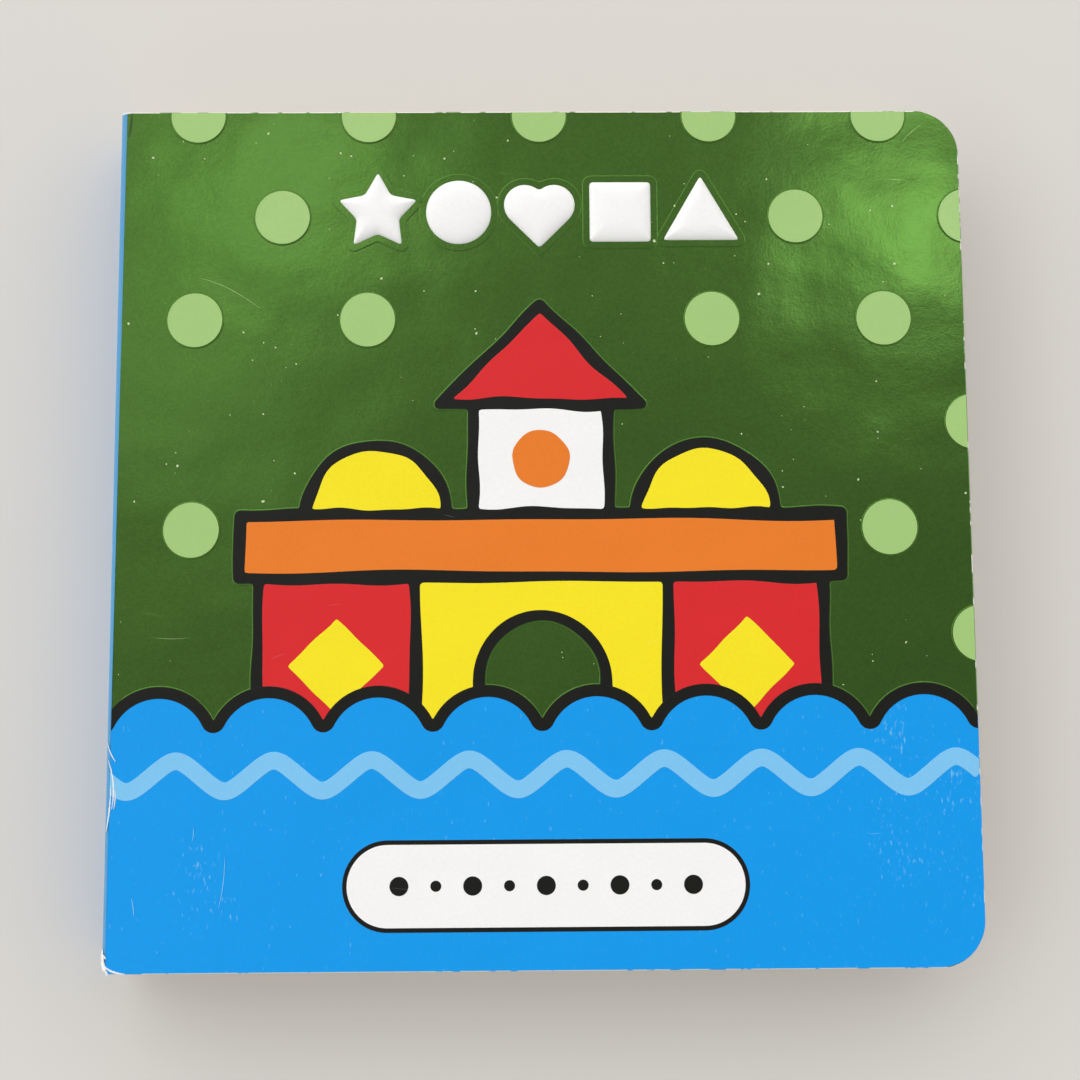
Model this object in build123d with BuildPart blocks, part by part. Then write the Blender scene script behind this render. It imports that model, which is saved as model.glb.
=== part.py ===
# A square board book, closed and lying on its back cover.
#
# Five thick leaves are cut flush with two card covers. Each leaf is two half-sheets
# glued back to back, so every gap between two leaves is closed at the spine by the fold
# of one sheet. The covers turn on their rounded spine edges, and a thin bowed strip
# covers the folds between them. The front cover is pressed from below: its picture stands
# a hair proud of the foil ground, and five shapes are domed well above it.
#
# +X runs from the spine to the fore-edge, +Y from the foot to the head, +Z up. The
# origin is the centre of the footprint, on the surface the book lies on.

import os
from math import cos, pi, sin, sqrt

from build123d import *

# Trimmed book, in millimetres
trim_width = 178.0
trim_height = 178.0
corner_radius = 9.5
cover_board = 2.0
leaf_board = 2.4
leaf_count = 5
leaf_gap = 0.3

# Spine strip and the folds behind it
spine_card = 0.8
spine_bow = 0.6
glue_line = 0.05
glue_fill = 0.5
fold_wall = 1.0

# Wear on the front cover's corner at the foot of the spine
worn_corner = 2.4

# Pressed relief of the front cover
panel_relief = 0.2
relief_margin = 2.2

# Row of five domed shapes near the head
title_margin = 22.0
title_pitch = 17.0
title_size = 15.0
title_shoulder = 0.25
title_round = 1.0

# Dots of the foil ground
dot_diameter = 11.5
dot_pitch_x = 36.0
dot_pitch_y = 22.0
dot_spine_margin = 17.0
dot_head_margin = 1.0
dot_clearance = 2.0

# Scalloped band along the foot
band_height = 50.0
scallop_count = 8
scallop_rise = 7.0

# Pile of toy blocks standing behind the band
outline_width = 2.4
pile_depth = 7.0
side_block_width = 32.0
lower_block_height = 36.0
arch_block_width = 52.0
arch_radius = 13.0
arch_pier = 15.0
plank_length = 124.0
plank_height = 13.0
half_round_radius = 14.5
half_round_offset = 34.0
middle_block_width = 28.0
middle_block_height = 23.0
roof_width = 42.0
roof_height = 21.0

# Places that follow from the sizes
fore_edge = trim_width / 2
block_foot = cover_board + leaf_gap
block_height = leaf_count * leaf_board + (leaf_count - 1) * leaf_gap
block_middle = block_foot + block_height / 2
block_head = block_foot + block_height
book_height = block_head + leaf_gap + cover_board
bead_radius = cover_board / 2
hinge_x = -fore_edge + spine_bow + bead_radius
leaf_pitch = leaf_board + leaf_gap
fold_radius = leaf_pitch / 2
spine_radius = ((block_height / 2) ** 2 + spine_bow**2) / (2 * spine_bow)
title_relief = title_shoulder + title_round
title_line = trim_height / 2 - title_margin
band_cusp = band_height - trim_height / 2
pile_foot = band_cusp - pile_depth
plank_foot = pile_foot + lower_block_height
plank_head = plank_foot + plank_height
roof_foot = plank_head + middle_block_height
roof_slope = sqrt((roof_width / 2) ** 2 + roof_height**2)
scallop_pitch = trim_width / scallop_count
scallop_radius = ((scallop_pitch / 2) ** 2 + scallop_rise**2) / (2 * scallop_rise)


def cover_section(middle):
    """Section of a cover: a board rounded at the spine over its whole thickness."""
    with BuildSketch(mode=Mode.PRIVATE) as section:
        with Locations(((hinge_x + fore_edge) / 2, middle)):
            Rectangle(fore_edge - hinge_x, cover_board)
        with Locations((hinge_x, middle)):
            Circle(bead_radius)
    return section.sketch


def trimmed_outline(spine_side):
    """Outline seen from above: square at the spine, round at both fore-edge corners."""
    with BuildSketch(mode=Mode.PRIVATE) as outline:
        with Locations(((spine_side + fore_edge) / 2, 0)):
            Rectangle(fore_edge - spine_side, trim_height)
        fillet(outline.vertices().group_by(Axis.X)[-1], corner_radius)
    return outline.sketch


def fold_crest(height):
    """X of a fold's outermost line: the strip's inner arc at that height and the glue."""
    inner_radius = spine_radius - spine_card
    return -fore_edge + spine_radius - sqrt(inner_radius**2 - (height - block_middle) ** 2) + glue_line


def star(size):
    """Five-pointed star with blunt tips."""
    with BuildSketch(mode=Mode.PRIVATE) as shape:
        with BuildLine():
            reach = [size * 0.58, size * 0.31] * 5
            tips = [(r * sin(pi * k / 5), r * cos(pi * k / 5)) for k, r in enumerate(reach)]
            Polyline(*tips, close=True)
        make_face()
        fillet(shape.vertices(), title_round * 1.2)
    return shape.sketch


def disc(size):
    """Plain disc."""
    with BuildSketch(mode=Mode.PRIVATE) as shape:
        Circle(size * 0.46)
    return shape.sketch


def heart(size):
    """Square on its corner with a half-round on each upper side."""
    side = size / (1 + sqrt(0.5))
    lobe = side / sqrt(8)
    with BuildSketch(mode=Mode.PRIVATE) as shape:
        with Locations((0, -lobe / 2)):
            Rectangle(side, side, rotation=45)
        with Locations((lobe, lobe / 2), (-lobe, lobe / 2)):
            Circle(side / 2)
        fillet(shape.vertices().filter_by(lambda v: abs(v.X) < lobe / 2), title_round * 1.2)
    return shape.sketch


def square(size):
    """Square with round corners."""
    with BuildSketch(mode=Mode.PRIVATE) as shape:
        RectangleRounded(size * 0.86, size * 0.86, title_round * 1.6)
    return shape.sketch


def triangle(size):
    """Upright triangle with round corners."""
    with BuildSketch(mode=Mode.PRIVATE) as shape:
        with Locations((0, -size * 0.1)):
            RegularPolygon(size * 0.62, 3, rotation=90)
        fillet(shape.vertices(), title_round * 1.6)
    return shape.sketch


def domed_row():
    """Five shapes in a row, their upper edges rounded as card is when pressed."""
    with BuildPart(mode=Mode.PRIVATE) as row:
        with BuildSketch():
            for place, shape in enumerate((star, disc, heart, square, triangle)):
                with Locations(((place - 2) * title_pitch, title_line)):
                    add(shape(title_size))
        extrude(amount=title_relief)
        fillet(row.faces().group_by(Axis.Z)[-1].edges(), title_round)
    return row.part


def foil_dots():
    """Staggered rows of dots, less those that would meet the title or the pile."""
    reach = dot_diameter / 2 + dot_clearance
    title_half = 2 * title_pitch + title_size / 2
    arms_half = half_round_offset + half_round_radius
    keep_out = [
        (title_half, title_line - title_size / 2, title_line + title_size / 2),
        (plank_length / 2, pile_foot, plank_head),
        (arms_half, plank_head, plank_head + half_round_radius),
        (roof_width / 2, roof_foot, roof_foot + roof_height),
    ]
    with BuildSketch(mode=Mode.PRIVATE) as dots:
        for row in range(int((trim_height - band_height) / dot_pitch_y) + 1):
            y = trim_height / 2 - dot_head_margin - row * dot_pitch_y
            for column in range(int(trim_width / dot_pitch_x) + 1):
                x = -fore_edge + dot_spine_margin + (column + row % 2 / 2) * dot_pitch_x
                if not any(
                    abs(x) < half + reach and low - reach < y < high + reach
                    for half, low, high in keep_out
                ):
                    with Locations((x, y)):
                        Circle(dot_diameter / 2)
    return dots.sketch


def half_round(radius):
    """Upper half of a disc."""
    with BuildSketch(mode=Mode.PRIVATE) as shape:
        Circle(radius)
        Rectangle(2 * radius, radius, align=(Align.CENTER, Align.MAX), mode=Mode.SUBTRACT)
    return shape.sketch


def block_pile():
    """Outline of the pile of blocks, grown by half of the printed line round it."""
    with BuildSketch(mode=Mode.PRIVATE) as pile:
        with Locations((0, pile_foot + lower_block_height / 2)):
            Rectangle(arch_block_width + 2 * side_block_width, lower_block_height)
        with Locations((0, plank_foot + plank_height / 2)):
            Rectangle(plank_length, plank_height)
        with Locations((0, plank_head + middle_block_height / 2)):
            Rectangle(middle_block_width, middle_block_height)
        with Locations((half_round_offset, plank_head), (-half_round_offset, plank_head)):
            add(half_round(half_round_radius))
        with Locations((0, roof_foot)):
            Triangle(a=roof_width, b=roof_slope, c=roof_slope, align=(Align.CENTER, Align.MIN))
        offset(amount=outline_width / 2, kind=Kind.ARC)
        with Locations((0, pile_foot + arch_pier)):
            Circle(arch_radius - outline_width / 2, mode=Mode.SUBTRACT)
    return pile.sketch


def foot_band():
    """Band along the foot whose upper edge is a row of equal scallops."""
    with BuildSketch(mode=Mode.PRIVATE) as band:
        with Locations((0, band_cusp)):
            Rectangle(trim_width, band_height, align=(Align.CENTER, Align.MAX))
        with Locations((0, band_cusp + scallop_rise - scallop_radius)):
            with GridLocations(scallop_pitch, 0, scallop_count, 1):
                Circle(scallop_radius)
    return band.sketch


os.makedirs("parts", exist_ok=True)

# Front cover
with BuildPart() as front_cover:
    with BuildSketch(Plane.XZ):
        add(cover_section(book_height - cover_board / 2))
    extrude(amount=trim_height / 2, both=True)

    # Raised picture: dots, pile and band on one level
    with BuildSketch(Plane.XY.offset(book_height)):
        add(foil_dots())
        add(block_pile())
        add(foot_band())
        add(trimmed_outline(hinge_x + relief_margin), mode=Mode.INTERSECT)
    extrude(amount=panel_relief)

    with Locations((0, 0, book_height)):
        add(domed_row())

    # Trim, with the corner at the foot of the spine worn round
    with BuildSketch() as trim:
        add(trimmed_outline(-fore_edge))
        worn = trim.vertices().group_by(Axis.X)[0].sort_by(Axis.Y)[0]
        fillet(worn, worn_corner)
    extrude(amount=book_height + title_relief, mode=Mode.INTERSECT)

# Back cover
with BuildPart() as back_cover:
    with BuildSketch(Plane.XZ):
        add(cover_section(cover_board / 2))
    extrude(amount=trim_height / 2, both=True)
    with BuildSketch():
        add(trimmed_outline(-fore_edge))
    extrude(amount=cover_board, mode=Mode.INTERSECT)

# Spine strip: a bowed card as high as the block of leaves
with BuildPart() as spine:
    with BuildSketch(Plane.XZ):
        with Locations((spine_radius - fore_edge, block_middle)):
            Circle(spine_radius)
            Circle(spine_radius - spine_card, mode=Mode.SUBTRACT)
        with Locations((-fore_edge, block_middle)):
            Rectangle(4 * spine_card, block_height, align=(Align.MIN, Align.CENTER), mode=Mode.INTERSECT)
    extrude(amount=trim_height / 2, both=True)

# Leaves and the folds that join them
with BuildPart() as page_block:
    gaps = [block_foot - leaf_gap / 2 + k * leaf_pitch for k in range(leaf_count + 1)]
    with BuildSketch(Plane.XZ):
        with Locations((fold_crest(block_middle) + fold_radius - glue_fill, block_middle)):
            Rectangle(trim_width, block_height, align=(Align.MIN, Align.CENTER))
        for gap in gaps:
            with Locations((fold_crest(gap) + fold_radius, gap)):
                Circle(fold_radius)
        with Locations((0, block_middle)):
            Rectangle(trim_width, block_height, mode=Mode.INTERSECT)
        for gap in gaps[1:-1]:
            with Locations((fold_crest(gap) + fold_wall, gap)):
                Rectangle(trim_width, leaf_gap, align=(Align.MIN, Align.CENTER), mode=Mode.SUBTRACT)
                Circle(leaf_gap / 2, mode=Mode.SUBTRACT)
    extrude(amount=trim_height / 2, both=True)
    with BuildSketch():
        add(trimmed_outline(-fore_edge))
    extrude(amount=book_height, mode=Mode.INTERSECT)

front_cover.part.label = "front_cover"
back_cover.part.label = "back_cover"
spine.part.label = "spine"
page_block.part.label = "page_block"

export_step(front_cover.part, "parts/front_cover.step")
export_step(back_cover.part, "parts/back_cover.step")
export_step(spine.part, "parts/spine.step")
export_step(page_block.part, "parts/page_block.step")
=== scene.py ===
"""A square board book with a foil-printed, pressed front cover, dressed over its CAD frame."""

import math

import bpy
import numpy as np
from bpy.props import FloatProperty, FloatVectorProperty, IntProperty, PointerProperty
from mathutils import Euler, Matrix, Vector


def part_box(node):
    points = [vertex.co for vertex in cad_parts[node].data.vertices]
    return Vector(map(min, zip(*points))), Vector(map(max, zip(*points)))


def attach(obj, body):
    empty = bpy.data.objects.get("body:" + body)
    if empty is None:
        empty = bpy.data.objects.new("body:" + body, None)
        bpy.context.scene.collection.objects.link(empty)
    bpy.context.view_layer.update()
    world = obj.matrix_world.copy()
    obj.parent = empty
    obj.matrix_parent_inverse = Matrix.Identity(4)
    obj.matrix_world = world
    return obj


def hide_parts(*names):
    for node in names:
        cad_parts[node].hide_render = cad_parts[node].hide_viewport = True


bl_info = {
    "name": "Board book",
    "version": (1, 0, 0),
    "blender": (4, 5, 0),
    "location": "View3D > Sidebar > Book",
    "description": "Builds a square board book with a pressed foil cover",
    "category": "Add Mesh",
}

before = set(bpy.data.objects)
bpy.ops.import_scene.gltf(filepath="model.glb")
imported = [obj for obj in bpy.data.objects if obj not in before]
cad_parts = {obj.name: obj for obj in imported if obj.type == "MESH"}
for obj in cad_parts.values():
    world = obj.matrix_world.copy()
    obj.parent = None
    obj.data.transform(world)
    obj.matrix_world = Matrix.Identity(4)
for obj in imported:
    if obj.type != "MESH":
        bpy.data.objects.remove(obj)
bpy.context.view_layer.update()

MM = 0.001
FRONT_LOW, FRONT_HIGH = (np.array(corner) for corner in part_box("front_cover"))
BACK_LOW, BACK_HIGH = (np.array(corner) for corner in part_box("back_cover"))
BLOCK_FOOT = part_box("page_block")[0][2]

# Half the width of the square cover, and the thickness of a board, a leaf and a slit
EDGE = FRONT_HIGH[0]
BOARD, LEAF, SLIT = BACK_HIGH[2] - BACK_LOW[2], 2.4 * MM, 0.3 * MM


def level(height):
    """Height in metres of a layer so many mm over the front cover's foil."""
    return BOARD + FRONT_LOW[2] + height * MM


# Colours and nodes


def linear(code):
    """Linear RGB of an sRGB hex colour such as #0d9eec."""
    value = np.array([int(code[k : k + 2], 16) for k in (1, 3, 5)]) / 255
    low = value / 12.92
    high = ((value + 0.055) / 1.055) ** 2.4
    return tuple(np.where(value <= 0.04045, low, high).tolist())


def rgba(colour):
    """The four numbers that a colour socket takes."""
    return (*colour[:3], 1.0)


def fill(tree, node, inputs):
    """Links a node's inputs to sockets, or sets them to values, by name or number."""
    for key, value in inputs.items():
        if isinstance(value, bpy.types.NodeSocket):
            tree.links.new(value, node.inputs[key])
        else:
            node.inputs[key].default_value = value


def add(tree, kind, inputs=None, **settings):
    """Adds a node with its settings and inputs.

    Inputs 0 to 4 of a MapRange are a value, the range it comes from and the one it goes to.
    """
    node = tree.nodes.new("ShaderNode" + kind)
    for name, value in settings.items():
        setattr(node, name, value)
    fill(tree, node, inputs or {})
    return node


def blank(name):
    """A new material's node tree with its output, its shader and the object coordinates."""
    material = bpy.data.materials.new(name)
    material.use_nodes = True
    tree = material.node_tree
    tree.nodes.clear()
    shader = add(tree, "BsdfPrincipled")
    add(tree, "OutputMaterial", {"Surface": shader.outputs["BSDF"]})
    place = add(tree, "TexCoord").outputs["Object"]
    return material, tree, shader, place


# Masks and bumps


def waved(tree, place, waves):
    """Normal of bumps over one another, and the noise of the last.

    Each of the waves has a size and a relief in mm, and is drawn so many times longer
    upright than across.
    """
    normal = None
    for size, relief, reach in waves:
        drawn = add(tree, "Mapping", {"Vector": place, "Scale": (1, 1 / reach, 1)}).outputs[0]
        noise = add(tree, "TexNoise", {"Vector": drawn, "Scale": 1 / (size * MM), "Detail": 2.0})
        inputs = {"Height": noise.outputs["Fac"], "Distance": relief * MM}
        if normal:
            inputs["Normal"] = normal
        normal = add(tree, "Bump", inputs).outputs["Normal"]
    return normal, noise.outputs["Fac"]


def scratches(tree, place, turn, limit):
    """Mask of long thin lines that bend a little: stretched noise on swayed coordinates.

    The noise is 14 mm along the lines and 0.5 mm across, and they sway over 60 mm.
    """
    sway = add(tree, "TexNoise", {"Vector": place, "Scale": 1 / (60 * MM), "Detail": 0.0})
    bend = {0: sway.outputs["Color"], 1: (30 * MM, 30 * MM, 0.0), 2: place}
    bent = add(tree, "VectorMath", bend, operation="MULTIPLY_ADD").outputs[0]
    drawn = {"Vector": bent, "Rotation": (0, 0, turn), "Scale": (1, 30, 1)}
    drawn = add(tree, "Mapping", drawn).outputs[0]
    thread = add(tree, "TexNoise", {"Vector": drawn, "Scale": 1 / (14 * MM), "Detail": 1.0})
    return add(tree, "MapRange", {0: thread.outputs["Fac"], 1: limit, 2: limit + 0.05}).outputs[0]


def scuffs(tree, place, rubs):
    """Mask of short upright strokes, 0.6 mm across, in bunches of 7 mm round each rub.

    A rub is (x, y, reach) in mm, and its strokes thin out towards the reach.
    """
    drawn = add(tree, "Mapping", {"Vector": place, "Scale": (1, 0.35, 1)}).outputs[0]
    stroke = add(tree, "TexNoise", {"Vector": drawn, "Scale": 1 / (0.6 * MM), "Detail": 5.0})
    bunch = add(tree, "TexNoise", {"Vector": place, "Scale": 1 / (7 * MM), "Detail": 2.0})
    bunched = {0: bunch.outputs["Fac"], 1: 0.35, 2: 0.65, 4: 0.13}
    bunched = add(tree, "MapRange", bunched).outputs[0]
    mask = 0.0
    for x, y, reach in rubs:
        centre = (x * MM, y * MM, level(0.3))
        away = add(tree, "VectorMath", {0: place, 1: centre}, operation="DISTANCE")
        near = {0: away.outputs["Value"], 1: reach * MM, 2: 0.2 * reach * MM}
        near = add(tree, "MapRange", near).outputs[0]
        lost = {0: near, 1: bunched, 2: stroke.outputs["Fac"]}
        lost = add(tree, "Math", lost, operation="MULTIPLY_ADD").outputs[0]
        worn = add(tree, "MapRange", {0: lost, 1: 0.66, 2: 0.82}).outputs[0]
        mask = add(tree, "Math", {0: mask, 1: worn}, operation="MAXIMUM").outputs[0]
    return mask


# Materials

# The foil grain is 0.1 to 0.2 mm and is drawn at 0.5 mm so that it shows
FOIL_WAVES = ((40, 1.2, 1), (9, 0.07, 1), (1.8, 0.009, 1), (0.5, 0.005, 5), (0.5, 0.013, 1))

# The board under a printed film waves over 30 mm, and the film's own skin over 1.4 mm
FILM_WAVES = ((30, 0.9, 1), (1.4, 0.02, 1))


def foil(name, colour):
    """Green foil hot-stamped on card: a soft satin metal that shows the card's waviness.

    The eye sees broad cloudy reflections, a leathery mottle, fine upright streaks and
    grain, faint scratches and many small pale specks where the foil is lost.
    """
    material, tree, shader, place = blank(name)
    normal, grain = waved(tree, place, FOIL_WAVES)

    # One speck to a cell of 2.2 mm, up to 0.3 mm in radius, and smaller outside the patches
    cell = add(tree, "TexVoronoi", {"Vector": place, "Scale": 1 / (2.2 * MM)})
    patch = add(tree, "TexNoise", {"Vector": place, "Scale": 1 / (20 * MM), "Detail": 1.0})
    patched = add(tree, "MapRange", {0: patch.outputs["Fac"], 1: 0.3, 2: 0.6}).outputs[0]
    draw = add(tree, "SeparateXYZ", {0: cell.outputs["Color"]}).outputs["X"]
    radius = add(tree, "Math", {0: draw, 1: 2.0}, operation="POWER").outputs[0]
    for factor in (patched, grain, 0.29):
        radius = add(tree, "Math", {0: radius, 1: factor}, operation="MULTIPLY").outputs[0]
    within = {0: radius, 1: cell.outputs["Distance"]}
    within = add(tree, "Math", within, operation="SUBTRACT").outputs[0]
    speck = add(tree, "MapRange", {0: within, 1: 0.004, 2: 0.028}).outputs[0]

    line = scratches(tree, place, turn=0.4, limit=0.79)
    scratch = add(tree, "Math", {0: line, 1: patched}, operation="MULTIPLY").outputs[0]
    dark, light = (rgba([gain * part for part in colour]) for gain in (0.8, 1.2))
    tone = add(tree, "MixRGB", {0: grain, 1: dark, 2: light}).outputs[0]
    for mask, pale in ((scratch, "#a9cf86"), (speck, "#cddbac")):
        tone = add(tree, "MixRGB", {0: mask, 1: tone, 2: rgba(linear(pale))}).outputs[0]
    rough = add(tree, "MapRange", {0: grain, 3: 0.2, 4: 0.25}).outputs[0]
    metal = add(tree, "Math", {0: 1.0, 1: speck}, operation="SUBTRACT").outputs[0]
    fill(tree, shader, {"Base Color": tone, "Roughness": rough, "Metallic": metal})
    fill(tree, shader, {"Normal": normal})
    return material


def ink(name, colour, rubs=()):
    """Offset ink on coated card under a gloss film: a nearly even colour with a soft sheen.

    Long fine scratches, and scuffs round the rubs, are a paler tint of the ink.
    """
    material, tree, shader, place = blank(name)
    normal, skin_noise = waved(tree, place, FILM_WAVES)
    mark = scratches(tree, place, turn=1.9, limit=0.8)
    if rubs:
        both = {0: mark, 1: scuffs(tree, place, rubs)}
        mark = add(tree, "Math", both, operation="MAXIMUM").outputs[0]

    # The print's screen is finer than 0.2 mm and is drawn at 0.7 mm, as a slight unevenness
    screen = add(tree, "TexNoise", {"Vector": place, "Scale": 1 / (0.7 * MM), "Detail": 3.0})
    uneven = add(tree, "MapRange", {0: screen.outputs["Fac"], 1: 0.3, 4: 0.16}).outputs[0]
    dark = rgba([0.6 * part for part in colour])
    tone = add(tree, "MixRGB", {0: uneven, 1: rgba(colour), 2: dark}).outputs[0]
    tint = rgba([0.5 * (part**0.35 + 0.85) for part in colour])
    faint = add(tree, "Math", {0: mark, 1: 0.42}, operation="MULTIPLY").outputs[0]
    tone = add(tree, "MixRGB", {0: faint, 1: tone, 2: tint}).outputs[0]
    rough = add(tree, "MapRange", {0: skin_noise, 3: 0.26, 4: 0.4}).outputs[0]
    fill(tree, shader, {"Base Color": tone, "Roughness": rough, "Normal": normal})
    fill(tree, shader, {"Specular IOR Level": 0.35, "Coat Weight": 0.08, "Coat Roughness": 0.1})
    return material


def cut_board(name, colour, deep="#c9c2b2", soiled="#b3ab9b"):
    """Guillotined board: a matt pale edge with the fibres' layers lying flat in it.

    The fibres are 1.8 mm long, in layers of 0.2 mm, and soiled in patches of 12 mm.
    """
    material, tree, shader, place = blank(name)
    layer = add(tree, "Mapping", {"Vector": place, "Scale": (1, 1, 9)}).outputs[0]
    fibre = add(tree, "TexNoise", {"Vector": layer, "Scale": 1 / (1.8 * MM), "Detail": 4.0})
    fibre = fibre.outputs["Fac"]
    soil = add(tree, "TexNoise", {"Vector": place, "Scale": 1 / (12 * MM), "Detail": 3.0})
    dirt = add(tree, "MapRange", {0: soil.outputs["Fac"], 1: 0.5, 2: 0.8}).outputs[0]
    tone = add(tree, "MixRGB", {0: fibre, 1: rgba(linear(deep)), 2: rgba(colour)}).outputs[0]
    tone = add(tree, "MixRGB", {0: dirt, 1: tone, 2: rgba(linear(soiled))}).outputs[0]
    bump = add(tree, "Bump", {"Height": fibre, "Distance": 0.05 * MM}).outputs["Normal"]
    fill(tree, shader, {"Base Color": tone, "Roughness": 0.85, "Normal": bump})
    return material


def coated_board(name, colour):
    """Board coated and varnished white, bare of print: a faint warm cast and a dull sheen."""
    material, tree, shader, place = blank(name)
    cast = add(tree, "TexNoise", {"Vector": place, "Scale": 1 / (40 * MM), "Detail": 3.0})
    # The coating's tooth is about 0.1 mm and is drawn at 0.9 mm so that it shows
    tooth = add(tree, "TexNoise", {"Vector": place, "Scale": 1 / (0.9 * MM), "Detail": 2.0})
    tooth = tooth.outputs["Fac"]
    tone = {0: cast.outputs["Fac"], 1: rgba(colour), 2: rgba(linear("#ebe6da"))}
    tone = add(tree, "MixRGB", tone).outputs[0]
    bump = add(tree, "Bump", {"Height": tooth, "Distance": 0.01 * MM}).outputs["Normal"]
    rough = add(tree, "MapRange", {0: tooth, 3: 0.3, 4: 0.45}).outputs[0]
    fill(tree, shader, {"Base Color": tone, "Roughness": rough, "Normal": bump})
    return material


def rubbed_edge_and_highlight(name, upper):
    """Printed card rubbed bare along a cut edge: white paper shows in nicks between print.

    The head is rubbed almost to a white line; at the foot the same white line is a painted
    highlight of the film's edge. The print has the named colour above the band and is
    blue below it.
    """
    scene = bpy.context.scene
    colours = scene.book_colours
    band_top = scene.book_sizes.band_height - EDGE
    material, tree, shader, place = blank(name)
    nick = add(tree, "TexNoise", {"Vector": place, "Scale": 1 / (3 * MM), "Detail": 4.0})
    nick = nick.outputs["Fac"]
    height = add(tree, "SeparateXYZ", {0: place}).outputs["Y"]
    above = {0: height, 1: band_top - 0.5 * MM, 2: band_top + 0.5 * MM}
    above = add(tree, "MapRange", above).outputs[0]
    printed = {0: above, 1: rgba(colours.blue), 2: rgba(getattr(colours, upper))}
    printed = add(tree, "MixRGB", printed).outputs[0]
    reach = add(tree, "Math", {0: height}, operation="ABSOLUTE").outputs[0]
    # Whiter towards head and foot: rubbed paper at the head, a painted highlight of the film's
    # edge at the foot
    ends = add(tree, "MapRange", {0: reach, 1: EDGE - 1.8 * MM, 2: EDGE - 0.6 * MM}).outputs[0]
    left = add(tree, "Math", {0: ends, 1: -0.16, 2: nick}, operation="MULTIPLY_ADD").outputs[0]
    kept = add(tree, "MapRange", {0: left, 1: 0.41, 2: 0.45}).outputs[0]
    tone = add(tree, "MixRGB", {0: kept, 1: rgba(linear("#f1f0e6")), 2: printed}).outputs[0]
    bump = add(tree, "Bump", {"Height": nick, "Distance": 0.08 * MM}).outputs["Normal"]
    fill(tree, shader, {"Base Color": tone, "Roughness": 0.7, "Normal": bump})
    return material


def leaf_board(name, colours):
    """Leaves of coated board: smooth white faces, and cut edges of two pasted greyish layers.

    The paste shows as a thin darker line half-way up each leaf. The fibres are 1.6 mm long,
    in layers of 0.2 mm.
    """
    material, tree, shader, place = blank(name)
    facing = add(tree, "SeparateXYZ", {0: add(tree, "TexCoord").outputs["Normal"]}).outputs["Z"]
    flat = add(tree, "Math", {0: facing}, operation="ABSOLUTE").outputs[0]
    face = add(tree, "MapRange", {0: flat, 1: 0.6, 2: 0.8}).outputs[0]
    phase = add(tree, "SeparateXYZ", {0: place}).outputs["Z"]
    middle = BLOCK_FOOT + LEAF / 2
    for operation, by in (("SUBTRACT", middle), ("DIVIDE", LEAF + SLIT), ("PINGPONG", 0.5)):
        phase = add(tree, "Math", {0: phase, 1: by}, operation=operation).outputs[0]
    paste = add(tree, "MapRange", {0: phase, 1: 0.05, 2: 0.02}).outputs[0]
    layer = add(tree, "Mapping", {"Vector": place, "Scale": (1, 1, 8)}).outputs[0]
    fibre = add(tree, "TexNoise", {"Vector": layer, "Scale": 1 / (1.6 * MM), "Detail": 4.0})
    fibre = fibre.outputs["Fac"]
    tone = rgba(linear("#d2cbbb"))
    over = ((fibre, colours.core), (paste, linear("#a79e8c")), (face, colours.inside))
    for mask, colour in over:
        tone = add(tree, "MixRGB", {0: mask, 1: tone, 2: rgba(colour)}).outputs[0]
    rough = add(tree, "MapRange", {0: face, 3: 0.85, 4: 0.35}).outputs[0]
    bump = add(tree, "Bump", {"Height": fibre, "Distance": 0.03 * MM}).outputs["Normal"]
    fill(tree, shader, {"Base Color": tone, "Roughness": rough, "Normal": bump})
    return material


# Outlines, as complex numbers x + iy in metres, run anticlockwise


def arc(centre, radius, start, end, count=48):
    """Points of a circle's arc between two angles in degrees: centre + radius e^(i angle)."""
    return centre + radius * np.exp(1j * np.radians(np.linspace(start, end, count)))


def rectangle(low, high):
    """Corners of an upright rectangle between two opposite corners."""
    return np.array([low, high.real + 1j * low.imag, high, low.real + 1j * high.imag])


def diamond(centre, half):
    """Square on its corner."""
    return centre + half * np.array([-1j, 1, 1j, -1])


def softened(corners, soft, step=0.35 * MM, count=None):
    """A closed outline in equal steps, its corners softened.

    The corner path is resampled by its length, and its Fourier terms are multiplied by
    a Gaussian of the given width, which is a moving average along the outline.
    """
    path = np.append(corners, corners[0])
    length = np.append(0, np.cumsum(np.abs(np.diff(path))))
    count = count or int(length[-1] / step)
    along = np.arange(count) * length[-1] / count
    even = np.interp(along, length, path.real) + 1j * np.interp(along, length, path.imag)
    wave = np.fft.fftfreq(count, length[-1] / count)
    return np.fft.ifft(np.fft.fft(even) * np.exp(-2 * (np.pi * wave * soft) ** 2))


def outward(outline):
    """Unit normals of a closed outline: its central difference turned by a quarter."""
    along = np.roll(outline, -1) - np.roll(outline, 1)
    return -1j * along / np.abs(along)


def hand_drawn(outline, amount, seed, turns=(2, 3, 5, 7)):
    """Moves an outline in and out by slow waves of seeded phase, as a drawing hand does."""
    rng = np.random.default_rng(seed)
    phase = rng.uniform(0, 2 * np.pi, len(turns))
    along = np.arange(len(outline)) / len(outline)
    sway = np.sin(2 * np.pi * along[:, None] * np.array(turns) + phase).mean(1)
    return outline + outward(outline) * sway * amount * 2


def grown(corners, by):
    """An anticlockwise outline moved outwards, or inwards where by is below zero.

    The corners on the side moved to get an arc about the corner, and the others a mitre,
    which is the sum of both unit normals over one plus their scalar product.
    """
    before = corners - np.roll(corners, 1)
    after = np.roll(corners, -1) - corners
    first = -1j * before / np.abs(before)
    second = -1j * after / np.abs(after)
    turn = np.angle(after / before)[:, None]
    arcs = first[:, None] * np.exp(1j * turn * np.linspace(0, 1, 9))
    mitre = (first + second) / (1 + (first * second.conj()).real)
    return (corners[:, None] + by * np.where(turn * by > 0, arcs, mitre[:, None])).ravel()


# Surfaces


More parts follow.
